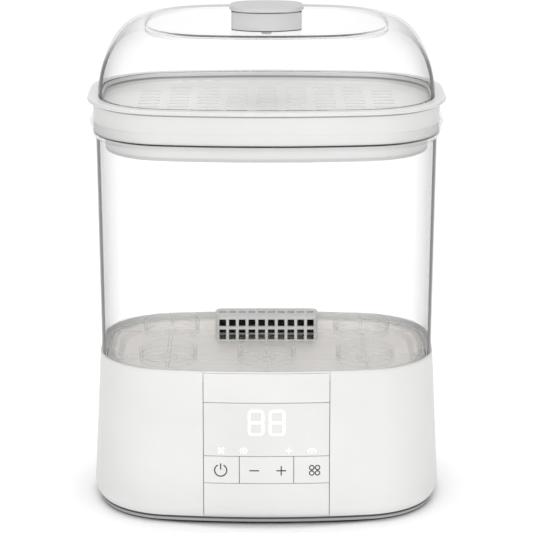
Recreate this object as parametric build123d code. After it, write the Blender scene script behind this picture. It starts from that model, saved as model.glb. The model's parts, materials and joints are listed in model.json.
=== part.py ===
"""Baby bottle sterilizer and dryer: base unit, clear chamber, accessory tray and domed lid.

Millimetres, +Z up, front towards -Y. The origin is on the resting surface, under the centre of the base.
Every plan outline is an eight-arc oval. "Inset" is the distance inwards from the largest oval.
"""

from build123d import *
from math import atan2, copysign, cos, degrees, hypot, radians, sin, sqrt
import os

# ---------------------------------------------------------------- driving dimensions
HALF_WIDTH = 140.0  # largest oval, half of its width along X
HALF_DEPTH = 92.0  # and half of its depth along Y
R_LONG = 585.0  # radius of its front and back arcs
R_END = 990.0  # radius of its end arcs
R_CORNER = 67.0  # radius of its corner arcs

COVER_BOTTOM = 1.2  # the feet hold the bottom cover this far off the table
COVER_TOP = 6.5
COVER_INSET = 6.5
LIP_TOP = 9.8  # top of the cover's locating lip
HOUSING_BOTTOM = 6.8
HOUSING_WIDEST = 18.0
RIM_TOP = 126.0  # top edge of the white base
WIDEST_INSET = 1.4
RIM_INSET = 7.2
BOTTOM_ROUND = 17.0  # radius of the housing's lower corner, in section
WALL = 2.5

SEAT = 122.0  # ledge that the chamber stands on
LEDGE_BOTTOM = 116.4
SEAL_SEAT = 118.6
PLATE_TOP = 121.4
PLATE = 1.2  # sheet thickness of the heating plate
DISH_TOP = 116.4  # the plate's sunken floor
DISH_BOTTOM = DISH_TOP - PLATE

CHAMBER_TOP = 313.0
SHELF = 303.5  # where the tray's band rests inside the chamber's collar
CLEAR_WALL = 2.2

TRAY_FLOOR = 323.0
FLANGE_BOTTOM = 328.2
FLANGE_TOP = 331.2
SKIRT_BOTTOM = 290.0

LID_INSET = 9.0
LID_HEIGHT = 56.0
CREST_HALF_WIDTH = 95.0
CREST_HALF_DEPTH = 79.0
CREST_RADII = (335.0, 312.0, 55.0)  # its front, end and corner arcs
LID_TOP = FLANGE_TOP + LID_HEIGHT
RECESS_RIM = 2.6  # width of the flat rim round the sunken top
RECESS_EDGE = LID_TOP - 3.2  # foot of the sunken top's side
RECESS_FLOOR = LID_TOP - 6.6  # its middle, which the knob stands on
RECESS_MIDDLE = (34.0, 28.0)  # half width and half depth of that level middle

KNOB_TOP = 399.0
KNOB_CAP = 3.2
KNOB_HALF = 27.3  # half width of the grip block
KNOB_CORNER = 12.0  # Y of its corners
KNOB_FRONT = 21.5  # and of the middle of its bowed front and back

PANEL_HALF = 49.25  # half width of the front panel strip
PANEL_SIDES = (-PANEL_HALF, PANEL_HALF)
PANEL_TOP = 124.6
DISPLAY_TOP = 101.0
KEYS_TOP = 58.0
KEYS_BOTTOM = 36.0
PANEL_BOTTOM = 8.0
GROOVE = 0.5  # gap between neighbouring panel pieces
GROOVE_DEPTH = 0.7  # of the grooves that run on above and below the panel
POWER_KEY_EDGE = -21.2
MODE_KEY_EDGE = 21.3
KEY_CENTRES = {"power": -35.4, "minus": -9.3, "plus": 11.9, "mode": 38.0}
KEY_HEIGHT = 46.5
LAMP_CENTRES = (-35.4, -17.9, 17.5, 35.4)
LAMP_HEIGHT = 62.5
ROCKER_X = 0.75  # axis of the minus and plus rocker
ROCKER_Y = -85.2
ROCKER_R = 1.0

HOOD_HALF = 42.0  # hot-air outlet hood
HOOD_FRONT = 30.0
HOOD_BACK = 54.0
HOOD_TOP = 137.6
HOLE_PITCH = 8.0
HOLE = 5.6
HOLE_ROWS = ((117.2, 125.9), (128.5, 134.4))  # bottom and top of each row of holes

FAN_HEIGHT = 47.0  # height of the fan's axis
FAN_FRONT = 28.0
FAN_BACK = 56.0
DUCT_BOTTOM = 92.0
SHAFT_R = 1.5

FILTER_HALF = 36.0
FILTER_BOTTOM = 27.0
FILTER_TOP = 95.0
FILTER_FRONT = 76.5

INLET_X = 64.0
INLET_Z = 32.0

SCREW_R = 1.45
COVER_SCREW_INSET = 15.0
FOOT_INSET = 31.0
STUD_INSET = 32.0

RACK_INSET = 13.4
RACK_BOTTOM = PLATE_TOP
RACK_TOP = RACK_BOTTOM + 4.6  # top of its ribs
RACK_RIM_TOP = 130.0  # its raised edge stands above the base's rim
CUP_HEIGHT = 6.0  # the seats' rings above that
RIB = 1.3  # half thickness of a rib
SEAT_X = 78.0
SEAT_Y = 38.0
SEAT_R = 23.0
SEAT_WALL = 2.0


# ---------------------------------------------------------------- oval helpers
def oval_arcs(half_width, half_depth, r_long, r_end, r_corner):
    """(centre x, centre y, radius, start angle, sweep) of the oval's eight tangent arcs."""
    end_x = half_width - r_end
    long_y = half_depth - r_long
    gap = hypot(end_x, long_y)
    reach_long = r_long - r_corner
    reach_end = r_end - r_corner
    along = (reach_long**2 - reach_end**2 + gap**2) / (2 * gap)
    aside = sqrt(reach_long**2 - along**2)
    ux = end_x / gap
    uy = -long_y / gap
    corner_x = along * ux + aside * uy
    corner_y = long_y + along * uy - aside * ux
    if corner_x < 0 or corner_y < 0:
        corner_x = along * ux - aside * uy
        corner_y = long_y + along * uy + aside * ux
    low = degrees(atan2(corner_y, corner_x - end_x))
    high = degrees(atan2(corner_y - long_y, corner_x))
    turn = high - low
    return [
        (end_x, 0, r_end, -low, 2 * low),
        (corner_x, corner_y, r_corner, low, turn),
        (0, long_y, r_long, high, 180 - 2 * high),
        (-corner_x, corner_y, r_corner, 180 - high, turn),
        (-end_x, 0, r_end, 180 - low, 2 * low),
        (-corner_x, -corner_y, r_corner, 180 + low, turn),
        (0, -long_y, r_long, 180 + high, 180 - 2 * high),
        (corner_x, -corner_y, r_corner, 360 - high, turn),
    ]


MASTER = oval_arcs(HALF_WIDTH, HALF_DEPTH, R_LONG, R_END, R_CORNER)
CORNER_X, CORNER_Y = MASTER[1][:2]
CORNER_ANGLE = MASTER[1][3] + MASTER[1][4] / 2


def oval_face(arcs, z, inset=0.0):
    """The oval's flat face at height z, drawn in by inset."""
    edges = [CenterArc((x, y), r - inset, start, sweep) for x, y, r, start, sweep in arcs]
    return Pos(0, 0, z) * make_face(edges)


def slab(inset, bottom, top):
    """A flat oval plate."""
    return extrude(oval_face(MASTER, bottom, inset), amount=top - bottom)


def around(section):
    """Carries a section, drawn as (-inset, height), once around the oval."""
    pieces = []
    for x, y, r, start, sweep in MASTER:
        out = Vector(cos(radians(start)), sin(radians(start)), 0)
        side = Plane(origin=(x, y, 0), x_dir=out, z_dir=out.cross(Vector(0, 0, 1)))
        placed = side * Pos(r, 0, 0) * section
        pieces.append(revolve(placed, axis=Axis((x, y, 0), (0, 0, 1)), revolution_arc=sweep))
    return pieces[0].fuse(*pieces[1:])


def section(*points, rounds=0.0):
    """A closed section through (inset, height) points, with a radius for each corner or one for all."""
    return make_face(FilletPolyline(*[(-u, z) for u, z in points], radius=rounds, close=True))


def box(x0, x1, y0, y1, z0, z1):
    """A box between two corners."""
    size = (x1 - x0, y1 - y0, z1 - z0)
    return Pos((x0 + x1) / 2, (y0 + y1) / 2, (z0 + z1) / 2) * Box(*size)


def rod(x, y, z0, z1, r):
    """An upright cylinder."""
    return Pos(x, y, (z0 + z1) / 2) * Cylinder(r, z1 - z0)


def rod_y(x, z, y0, y1, r):
    """A cylinder along Y."""
    return Pos(x, (y0 + y1) / 2, z) * Rot(90, 0, 0) * Cylinder(r, y1 - y0)


def join(shapes):
    """One solid from touching or overlapping shapes."""
    first, *rest = shapes
    return first.fuse(*rest)


def cross_slots(x, y, z, length, width, depth):
    """The two slots of a cross-head screw."""
    return [Pos(x, y, z) * Box(length, width, depth), Pos(x, y, z) * Box(width, length, depth)]


def corner_points(inset):
    """The four points on the corner arcs' bisectors at that inset."""
    x = CORNER_X + (R_CORNER - inset) * cos(radians(CORNER_ANGLE))
    y = CORNER_Y + (R_CORNER - inset) * sin(radians(CORNER_ANGLE))
    return [(sx * x, sy * y) for sx in (1, -1) for sy in (1, -1)]


def lead(points, radius, bend=6.0):
    """An insulated wire through points, with rounded turns."""
    path = FilletPolyline(*points, radius=bend)
    start = Plane(origin=path @ 0, z_dir=path % 0)
    return sweep(start * Circle(radius), path=path)


def wall_inset(z):
    """Inset of the housing's outer wall at a height above its widest line."""
    share = (z - HOUSING_WIDEST) / (RIM_TOP - HOUSING_WIDEST)
    return WIDEST_INSET + share * (RIM_INSET - WIDEST_INSET)


def front_y(z, inset=0.0):
    """Y of the oval's front, on the centre line, at that inset from the housing's outer wall."""
    return -(HALF_DEPTH - wall_inset(z) - inset)


# ---------------------------------------------------------------- base: shells
def corner_drop(inset_by):
    """How far the rounded lower corner has drawn in at the housing's bottom edge."""
    height = HOUSING_WIDEST - HOUSING_BOTTOM
    radius = BOTTOM_ROUND - inset_by
    return radius - sqrt(radius**2 - height**2)


def wall_section(outer, inner, top):
    """Section of the housing's wall between two depths below its outer surface, with the curved foot."""
    low = WIDEST_INSET
    high = wall_inset(top)
    foot_out = low + outer + corner_drop(outer)
    foot_in = low + inner + corner_drop(inner)
    rise = HOUSING_WIDEST - HOUSING_BOTTOM
    bend_out = BOTTOM_ROUND - outer
    bend_in = BOTTOM_ROUND - inner
    half_way = rise / 2
    mid_out = low + outer + bend_out - sqrt(bend_out**2 - half_way**2)
    mid_in = low + inner + bend_in - sqrt(bend_in**2 - half_way**2)
    edges = [
        ThreePointArc(
            (-foot_out, HOUSING_BOTTOM),
            (-mid_out, HOUSING_WIDEST - half_way),
            (-low - outer, HOUSING_WIDEST),
        ),
        Line((-low - outer, HOUSING_WIDEST), (-high - outer, top)),
        Line((-high - outer, top), (-high - inner, top)),
        Line((-high - inner, top), (-low - inner, HOUSING_WIDEST)),
        ThreePointArc(
            (-low - inner, HOUSING_WIDEST),
            (-mid_in, HOUSING_WIDEST - half_way),
            (-foot_in, HOUSING_BOTTOM),
        ),
        Line((-foot_in, HOUSING_BOTTOM), (-foot_out, HOUSING_BOTTOM)),
    ]
    return make_face(edges)


def cover_screw_points():
    """Four screws near the corners and one at each end."""
    end_x = HALF_WIDTH - COVER_SCREW_INSET
    return corner_points(COVER_SCREW_INSET) + [(end_x, 0), (-end_x, 0)]


BOARD_POSTS = [(side * x, y) for side in (1, -1) for x in (56.0, 106.0) for y in (-44.0, 34.0)]
BOARD_Z = 14.0
BOARD = 1.6


def bottom_cover():
    """Grey pan that closes the base, with its locating lip, foot pockets, posts and cooling slots."""
    floor_top = COVER_BOTTOM + 2.0
    edge = section(
        (11.0, COVER_BOTTOM),
        (COVER_INSET, COVER_BOTTOM),
        (COVER_INSET, COVER_TOP),
        (9.6, COVER_TOP),
        (9.6, LIP_TOP),
        (11.0, LIP_TOP),
        rounds=(0, 2.0, 0.4, 0, 0.4, 0),
    )
    cover = join([around(edge), slab(11.0, COVER_BOTTOM, floor_top)])
    posts = [rod(x, y, floor_top, 10.0, 5.0) for x, y in cover_screw_points()]
    posts += [rod(x, y, floor_top, BOARD_Z, 3.2) for x, y in BOARD_POSTS]
    cover = cover.fuse(*posts)
    cuts = [rod(x, y, 0, 4.8, 3.3) for x, y in cover_screw_points()]
    cuts += [rod(x, y, 4.0, 11.0, 1.8) for x, y in cover_screw_points()]
    cuts += [rod(x, y, floor_top + 1.0, BOARD_Z + 1.0, 1.0) for x, y in BOARD_POSTS]
    cuts += [rod(x, y, 0, COVER_BOTTOM + 1.0, 8.1) for x, y in corner_points(FOOT_INSET)]
    for side in (1, -1):
        for i in range(7):
            cuts.append(Pos(side * (66 + 5 * i), -4, 2) * Box(2.4, 32, 8))
    return cover.cut(*cuts)


def rubber_feet():
    """Four feet glued in the cover's pockets."""
    feet = []
    for x, y in corner_points(FOOT_INSET):
        foot = rod(x, y, 0, COVER_BOTTOM + 1.0, 8.0)
        feet.append(chamfer(foot.edges().group_by(Axis.Z)[0], 0.6))
    return feet


def cover_screws():
    """Pan-head screws, from below, into the housing's bosses."""
    screws = []
    for x, y in cover_screw_points():
        head = rod(x, y, 2.4, 4.8, 2.9)
        head = fillet(head.edges().group_by(Axis.Z)[0], 0.8)
        screw = head + rod(x, y, 4.8, 22.0, SCREW_R)
        screws.append(screw.cut(*cross_slots(x, y, 2.6, 3.6, 0.7, 1.4)))
    return screws


def wall_band(top=PANEL_TOP, outer=0.0, inner=WALL):
    """The housing's outer wall alone, all the way round."""
    return around(wall_section(outer, inner, top))


def panel_piece(band, x0, x1, z0, z1):
    """A piece of the outer wall at the front, drawn in by half a groove on each side."""
    half = GROOVE / 2
    return band & box(x0 + half, x1 - half, -HALF_DEPTH - 5, -50, z0 + half, z1 - half)


def chamber_room():
    """The space inside the rim that the chamber drops into."""
    return slab(LID_INSET - 0.3, SEAT, RIM_TOP + 1)


def screw_boss(x, y):
    """Boss for a cover screw, with a rib out to the wall."""
    centre_x = copysign(CORNER_X, x)
    centre_y = copysign(CORNER_Y, y) if y else 0.0
    outwards = atan2(y - centre_y, x - centre_x)
    rib = Pos(x, y, 0) * Rot(0, 0, degrees(outwards)) * box(3.0, 12.0, -1.5, 1.5, 16.0, 42.0)
    boss = rod(x, y, 10.2, 42.0, 4.5) + (rib & slab(WIDEST_INSET + 1.0, 0, RIM_TOP))
    return boss.solids()[0]


def base_housing():
    """White shell: tapered wall, rim, ledge for the chamber and plate, bosses and wall openings."""
    ledge = section(
        (wall_inset(LEDGE_BOTTOM) + 0.6, LEDGE_BOTTOM),
        (wall_inset(PANEL_TOP) + 0.2, PANEL_TOP),
        (RIM_INSET, RIM_TOP),
        (LID_INSET - 0.3, RIM_TOP),
        (LID_INSET - 0.3, SEAT),
        (12.2, SEAT),
        (12.2, SEAL_SEAT),
        (20.0, SEAL_SEAT),
        (20.0, LEDGE_BOTTOM),
        rounds=(0, 0, 0.9, 0.3, 0, 0.3, 0, 0.5, 0),
    )
    band = wall_band()
    bosses = [screw_boss(x, y) for x, y in cover_screw_points()]
    shell = band.fuse(around(ledge), *bosses)
    half = PANEL_HALF + GROOVE / 2
    window = around(wall_section(-1.0, WALL, PANEL_TOP)) & box(
        -half, half, -HALF_DEPTH - 5, -50, PANEL_BOTTOM, PANEL_TOP
    )
    skin = around(wall_section(-1.0, GROOVE_DEPTH, RIM_TOP + 1))
    half = GROOVE / 2
    grooves = [skin & box(x - half, x + half, -HALF_DEPTH - 5, -50, 0, RIM_TOP + 1) for x in PANEL_SIDES]
    half = FILTER_HALF + 2.0
    cuts = [window, *grooves, chamber_room(), box(-half, half, 70, 100, FILTER_BOTTOM - 2, FILTER_TOP + 2)]
    cuts.append(box(INLET_X - 13.2, INLET_X + 13.2, 70, 100, INLET_Z - 10.2, INLET_Z + 10.2))
    cuts += [rod(x, y, 5, 26.0, 1.6) for x, y in cover_screw_points()]
    return shell.cut(*cuts)


# ---------------------------------------------------------------- base: heating plate
def hood_outline(grow, z0, z1, radius=5.0):
    """The hood's rounded rectangle, grown on every side, as a solid between two heights."""
    width = 2 * (HOOD_HALF + grow)
    depth = HOOD_BACK - HOOD_FRONT + 2 * grow
    middle = (HOOD_FRONT + HOOD_BACK) / 2
    return Pos(0, middle, z0) * extrude(RectangleRounded(width, depth, radius + grow), amount=z1 - z0)


def heating_plate():
    """Pressed steel floor of the chamber: clamped flange, sloping side and sunken floor."""
    lip = section(
        (12.8, PLATE_TOP),
        (21.0, PLATE_TOP),
        (25.0, DISH_TOP),
        (28.0, DISH_TOP),
        (28.0, DISH_BOTTOM),
        (24.3, DISH_BOTTOM),
        (20.3, PLATE_TOP - PLATE),
        (12.8, PLATE_TOP - PLATE),
        rounds=(0.4, 2.2, 1.2, 0, 0, 2.2, 1.2, 0),
    )
    plate = join([around(lip), slab(28.0, DISH_BOTTOM, DISH_TOP)])
    return plate - hood_outline(-3.0, DISH_BOTTOM - 1, DISH_TOP + 1, 5.0)


def plate_seal():
    """Silicone ring between the ledge and the plate's flange."""
    ring = section(
        (12.9, SEAL_SEAT),
        (19.6, SEAL_SEAT),
        (19.6, PLATE_TOP - PLATE),
        (12.9, PLATE_TOP - PLATE),
        rounds=0.3,
    )
    return around(ring)


def at_corners(shape, inset):
    """Four copies of a shape drawn at the origin with +X outwards, one on each corner's bisector."""
    copies = []
    for x, y in corner_points(inset):
        angle = CORNER_ANGLE if x > 0 else 180 - CORNER_ANGLE
        copies.append(Pos(x, y, 0) * Rot(0, 0, angle if y > 0 else -angle) * shape)
    return copies


def plate_studs():
    """Weld studs under the plate."""
    return at_corners(rod(0, 0, 104.0, DISH_BOTTOM, 2.0), STUD_INSET)


def plate_brackets():
    """Strips on the studs that pull the plate down against the ledge."""
    strip = box(-6, 17, -6, 6, DISH_BOTTOM - 2.0, DISH_BOTTOM)
    pad = box(12.6, 17, -6, 6, DISH_BOTTOM - 2.0, LEDGE_BOTTOM)
    hole = rod(0, 0, DISH_BOTTOM - 3, DISH_BOTTOM + 1, 2.2)
    return at_corners(strip + pad - hole, STUD_INSET)


def plate_nuts():
    """Hexagon nuts under the brackets."""
    nut = Pos(0, 0, DISH_BOTTOM - 5.2) * extrude(RegularPolygon(4.0, 6), amount=3.2)
    return at_corners(nut - rod(0, 0, 105, DISH_BOTTOM, 2.05), STUD_INSET)


ELEMENT_Y = -20.0
ELEMENT_R = 42.0
ELEMENT_OPENING = 36.0  # degrees left open towards +X


def heating_element():
    """Flattened heater ring under the plate, open at one side, with two terminal tabs."""
    bar = Pos(ELEMENT_R, 0) * RectangleRounded(9.0, 5.6, 1.5)
    middle = DISH_BOTTOM - 2.8
    upright = Plane(origin=(0, ELEMENT_Y, middle), x_dir=(1, 0, 0), z_dir=(0, -1, 0))
    centre = Axis((0, ELEMENT_Y, 0), (0, 0, 1))
    ring = revolve(upright * bar, axis=centre, revolution_arc=360 - ELEMENT_OPENING)
    ring = Pos(0, ELEMENT_Y, 0) * Rot(0, 0, ELEMENT_OPENING / 2) * Pos(0, -ELEMENT_Y, 0) * ring
    end_y = ELEMENT_R * sin(radians(ELEMENT_OPENING / 2))
    end_x = ELEMENT_R * cos(radians(ELEMENT_OPENING / 2))
    tabs = [Pos(end_x + 7.5, ELEMENT_Y + s * end_y, middle) * Box(21.0, 5.0, 1.2) for s in (1, -1)]
    return join([ring, *tabs])


def thermostat():
    """Snap-disc thermostat pressed against the plate's underside, with two blades."""
    body = rod(0, ELEMENT_Y, DISH_BOTTOM - 9.0, DISH_BOTTOM, 8.5)
    flange = rod(0, ELEMENT_Y, DISH_BOTTOM - 1.2, DISH_BOTTOM, 11.0)
    blades = [Pos(s * 4.0, ELEMENT_Y, DISH_BOTTOM - 12.0) * Box(0.8, 5.0, 6.0) for s in (1, -1)]
    return join([body, flange, *blades])


def temperature_sensor():
    """Sensor bead in its clip under the plate."""
    body = rod(-64.0, ELEMENT_Y, DISH_BOTTOM - 6.0, DISH_BOTTOM, 3.0)
    return body + box(-68, -60, ELEMENT_Y - 6, ELEMENT_Y + 6, DISH_BOTTOM - 1.0, DISH_BOTTOM)


def thermal_fuse():
    """Cut-out cartridge strapped under the plate."""
    middle = DISH_BOTTOM - 2.4
    body = Pos(0, ELEMENT_Y - 30, middle) * Rot(0, 90, 0) * Cylinder(2.4, 12)
    return body + Pos(0, ELEMENT_Y - 30, middle) * Rot(0, 90, 0) * Cylinder(0.8, 22)


def heat_shield():
    """Aluminium sheet that keeps the plate's heat off the electronics, hung on four bent tabs."""
    sheet = box(-56, 56, -72, 26, 99.0, 100.0)
    tabs = [box(sx * 53 - 3, sx * 53 + 3, y, y + 1, 99.0, DISH_BOTTOM) for sx in (1, -1) for y in (-72, 25)]
    return join([sheet, *tabs])


# ---------------------------------------------------------------- base: hot-air path
def outlet_hood():
    """White hood over the air passage, with a grid of square holes in front and slots on top."""
    outside = hood_outline(0, DISH_TOP, HOOD_TOP)
    outside = fillet(outside.edges().group_by(Axis.Z)[-1], 2.0)
    hood = outside - hood_outline(-2.0, DISH_TOP - 1, HOOD_TOP - 2.0)
    cuts = []
    for i in range(10):
        x = (i - 4.5) * HOLE_PITCH
        for low, high in HOLE_ROWS:
            cuts.append(box(x - HOLE / 2, x + HOLE / 2, HOOD_FRONT - 1, HOOD_FRONT + 3, low, high))
        cuts.append(box(x - HOLE / 2, x + HOLE / 2, 39.0, 44.5, HOOD_TOP - 3, HOOD_TOP + 1))
    return hood.cut(*cuts)


def air_duct():
    """Duct that carries the heated air up to the hood, flanged at both ends."""
    tube = hood_outline(-1.0, DUCT_BOTTOM + 2, DISH_BOTTOM)
    foot = box(-43, 43, FAN_FRONT, FAN_BACK, DUCT_BOTTOM, DUCT_BOTTOM + 2)
    head = hood_outline(3.0, DISH_BOTTOM - 2, DISH_BOTTOM)
    inside = hood_outline(-3.0, DUCT_BOTTOM - 1, DISH_BOTTOM + 1)
    return join([tube, foot, head]) - inside


def air_heater():
    """Ceramic air heater: a finned block across the duct."""
    block = box(-36.0, 36.0, HOOD_FRONT + 4, HOOD_BACK - 4, 97.0, 107.0)
    middle = (HOOD_FRONT + HOOD_BACK) / 2
    slots = [Pos(4.4 * i, middle, 102) * Box(2.6, 13.0, 12.0) for i in range(-7, 8)]
    ears = [box(s * 38.6 - 0.4, s * 38.6 + 0.4, 40, 44, 100, 104) for s in (1, -1)]
    arms = [box(min(s * 35, s * 39), max(s * 35, s * 39), 40, 44, 101, 103) for s in (1, -1)]
    return join([block.cut(*slots), *ears, *arms])


def scroll_face(grow):
    """The fan scroll's outline in (X, Z), growing clockwise from its tongue to the outlet."""
    small, middle, large = 31.0 + grow, 33.0 + grow, 36.0 + grow
    low_z = FAN_HEIGHT - 1.0
    tongue = 65.0
    tip = (-2 - small * cos(radians(tongue)), low_z + small * sin(radians(tongue)))
    knee_angle = radians((180 + 180 - tongue) / 2)
    knee = (-2 + small * cos(knee_angle), low_z + small * sin(knee_angle))
    diagonal = sqrt(0.5)
    edges = [
        Line((-36 - grow, DUCT_BOTTOM), tip),
        ThreePointArc(tip, knee, (-2 - small, low_z)),
        ThreePointArc(
            (-middle, low_z), (-middle * diagonal, low_z - middle * diagonal), (0, low_z - middle)
        ),
        ThreePointArc(
            (0, low_z - middle), (large * diagonal, low_z + 3 - large * diagonal), (large, low_z + 3)
        ),
        Line((large, low_z + 3), (large, DUCT_BOTTOM)),
        Line((large, DUCT_BOTTOM), (-36 - grow, DUCT_BOTTOM)),
    ]
    return Plane(origin=(0, 0, 0), x_dir=(1, 0, 0), z_dir=(0, -1, 0)) * make_face(edges)


def fan_housing():
    """Scroll of the blower, open upwards, with the inlet ring at the back and two feet."""
    outside = Pos(0, FAN_BACK, 0) * extrude(scroll_face(2.0), amount=FAN_BACK - FAN_FRONT)
    inside = Pos(0, FAN_BACK - 2, 0) * extrude(scroll_face(0.0), amount=FAN_BACK - FAN_FRONT - 4)
    feet = [box(s * 22 - 5, s * 22 + 5, FAN_FRONT, FAN_BACK, COVER_BOTTOM + 2.0, 24) for s in (1, -1)]
    housing = outside.fuse(*feet) - inside
    holes = [
        rod_y(0, FAN_HEIGHT, FAN_BACK - 3, FAN_BACK + 1, 23.0),
        rod_y(0, FAN_HEIGHT, FAN_FRONT - 1, FAN_FRONT + 3, 4.0),
    ]
    return housing.cut(*holes)


def fan_motor():
    """Motor can on the scroll's front plate, with a boss around the shaft."""
    can = rod_y(0, FAN_HEIGHT, 6, FAN_FRONT, 17.0)
    can = fillet(can.edges().group_by(Axis.Y)[0], 2.0)
    boss = rod_y(0, FAN_HEIGHT, FAN_FRONT, 31.0, 3.6)
    return join([can, boss]) - rod_y(0, FAN_HEIGHT, 9, 32, SHAFT_R + 0.05)


def fan_shaft():
    """Steel shaft that turns with the impeller."""
    return rod_y(0, FAN_HEIGHT, 10, 50, SHAFT_R)


def fan_impeller():
    """Forward-curved centrifugal wheel: back disc, hub, blades and rim ring."""
    disc = rod_y(0, FAN_HEIGHT, 32.0, 33.2, 27.0)
    hub = rod_y(0, FAN_HEIGHT, 32.0, 49.0, 5.0)
    rim = rod_y(0, FAN_HEIGHT, 50.0, 52.0, 27.0) - rod_y(0, FAN_HEIGHT, 49.0, 53.0, 23.5)
    blade = Pos(24.6, 0, 0) * Rot(0, 0, 32) * Box(6.6, 1.0, 18.8)
    lay = Pos(0, 42.2, FAN_HEIGHT) * Rot(90, 0, 0)
    blades = [lay * Rot(0, 0, 15 * i) * blade for i in range(24)]
    return join([disc, hub, rim, *blades]) - rod_y(0, FAN_HEIGHT, 30, 55, SHAFT_R + 0.01)


def intake_duct():
    """Rectangular duct between the rear opening and the blower, with a lip that holds the filter."""
    half = FILTER_HALF + 1.0
    low = FILTER_BOTTOM - 1.0
    high = FILTER_TOP + 1.0
    tube = box(-half - 0.7, half + 0.7, FAN_BACK, 82.0, low - 0.7, high + 0.7)
    filter_room = box(-half + 0.8, half - 0.8, FILTER_FRONT, 90, low + 0.8, high - 0.8)
    plenum = box(-half + 0.8, half - 0.8, FAN_BACK + 1.5, FILTER_FRONT - 1.5, low + 0.8, high - 0.8)
    past_lip = box(-half + 3, half - 3, FILTER_FRONT - 2, FILTER_FRONT + 1, low + 3, high - 3)
    mouth = rod_y(0, FAN_HEIGHT, FAN_BACK - 1, FAN_BACK + 3, 20.0)
    return tube.cut(filter_room, plenum, past_lip, mouth)


def air_filter():
    """Pleated filter pad in the duct's mouth."""
    half = FILTER_HALF
    return box(-half, half, FILTER_FRONT, FILTER_FRONT + 5.0, FILTER_BOTTOM, FILTER_TOP)


def filter_cover(band):
    """Louvred cover over the filter, flush with the rear wall."""
    half = FILTER_HALF + 1.7
    cover = band & box(-half, half, 50, HALF_DEPTH + 5, FILTER_BOTTOM - 1.7, FILTER_TOP + 1.7)
    slots = [box(-27, 27, 70, 100, z, z + 3.0) for z in [FILTER_BOTTOM + 8 + 6 * i for i in range(9)]]
    return cover.cut(*slots)


# ---------------------------------------------------------------- base: electronics
def circuit_board(side):
    """Main board on one side of the base."""
    middle = side * 81.0
    board = box(middle - 30, middle + 30, -48, 38, BOARD_Z, BOARD_Z + BOARD)
    holes = [rod(x, y, BOARD_Z - 1, BOARD_Z + 3, 1.5) for x, y in BOARD_POSTS if x * side > 0]
    return board.cut(*holes)


def board_screws():
    """Small screws that hold both boards on the cover's posts."""
    screws = []
    for x, y in BOARD_POSTS:
        top = BOARD_Z + BOARD
        screws.append(rod(x, y, top, top + 1.8, 2.4) + rod(x, y, top - 6.0, top, 0.95))
    return screws


def control_chips():
    """Controller, driver and connectors on the control board."""
    top = BOARD_Z + BOARD
    return [
        box(-92, -78, -12, 2, top, top + 2.0),
        box(-92, -84, 14, 22, top, top + 1.6),
        box(-74, -62, -40, -34, top, top + 7.0),
        box(-104, -88, -40, -34, top, top + 7.0),
        box(-72, -64, 20, 32, top, top + 7.0),
    ]


def transformer():
    """Small mains transformer: core and bobbin."""
    top = BOARD_Z + BOARD
    core = box(60, 86, 0, 22, top, top + 20)
    return core + box(64, 82, -4, 26, top + 4, top + 16)


def relay():
    """Relay that switches the plate heater."""
    top = BOARD_Z + BOARD
    case = box(60, 76, -36, -16, top, top + 16)
    return fillet(case.edges().group_by(Axis.Z)[-1], 1.0)


def capacitors():
    """Two electrolytic capacitors."""
    top = BOARD_Z + BOARD
    return [rod(90, y, top, top + 17, 5.0) for y in (-30, -16)]


def mains_fuse():
    """Glass fuse across its two caps."""
    z = BOARD_Z + BOARD + 3.0
    glass = Pos(100, -24, z) * Rot(90, 0, 0) * Cylinder(2.4, 18)
    caps = [Pos(100, -24 + s * 10, z) * Rot(90, 0, 0) * Cylinder(3.0, 5) for s in (1, -1)]
    return join([glass, *caps])


def display_board():
    """Upright board behind the front panel."""
    return box(-46, 46, -78.0, -76.4, 38, 102)


def display_module():
    """Two-digit light module."""
    case = box(-18, 18, -83.2, -78.0, 72.0, 98.0)
    return fillet(case.edges().filter_by(Axis.Y), 1.0)


def indicator_lamps():
    """One lamp behind each icon."""
    return [rod_y(x, LAMP_HEIGHT, -83.0, -78.0, 2.2) for x in LAMP_CENTRES]


def key_switches():
    """Tact switches under the keys, stems short of the keys by their full travel."""
    switches = []
    for x in KEY_CENTRES.values():
        case = box(x - 3, x + 3, -81.4, -78.0, KEY_HEIGHT - 3, KEY_HEIGHT + 3)
        switches.append(case + rod_y(x, KEY_HEIGHT, -82.4, -81.4, 1.7))
    return switches


def panel_frame(inner_band):
    """Frame inside the wall behind the panel pieces, with windows for the module, lamps and keys."""
    frame = inner_band & box(-54, 54, -HALF_DEPTH, -50, 12.0, 114.0)
    cuts = [
        box(-19, 19, -HALF_DEPTH, -60, 71.0, 99.0),
        box(-PANEL_HALF, PANEL_HALF, -HALF_DEPTH, -60, KEYS_BOTTOM - 0.6, KEYS_TOP + 0.6),
    ]
    cuts += [rod_y(x, LAMP_HEIGHT, -HALF_DEPTH, -60, 2.6) for x in LAMP_CENTRES]
    struts = [box(s * 52 - 1.5, s * 52 + 1.5, -86, -76.4, z, z + 5) for s in (1, -1) for z in (40, 92)]
    struts = [strut - around(wall_section(-5, WALL + 0.2, 120)) for strut in struts]
    hooks = [box(s * 49 - 4.5, s * 49 + 4.5, -76.4, -75.0, z, z + 5) for s in (1, -1) for z in (40, 92)]
    return frame.cut(*cuts).fuse(*struts, *hooks)


def key(band, x0, x1, posts):
    """A push key: a piece of the front wall with a post towards each switch."""
    face = panel_piece(band, x0, x1, KEYS_BOTTOM, KEYS_TOP)
    back = front_y(KEY_HEIGHT, WALL)
    rods = [rod_y(x, KEY_HEIGHT, back - 1.0, -83.5, 1.6) for x in posts]
    return join([face, *rods])


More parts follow.
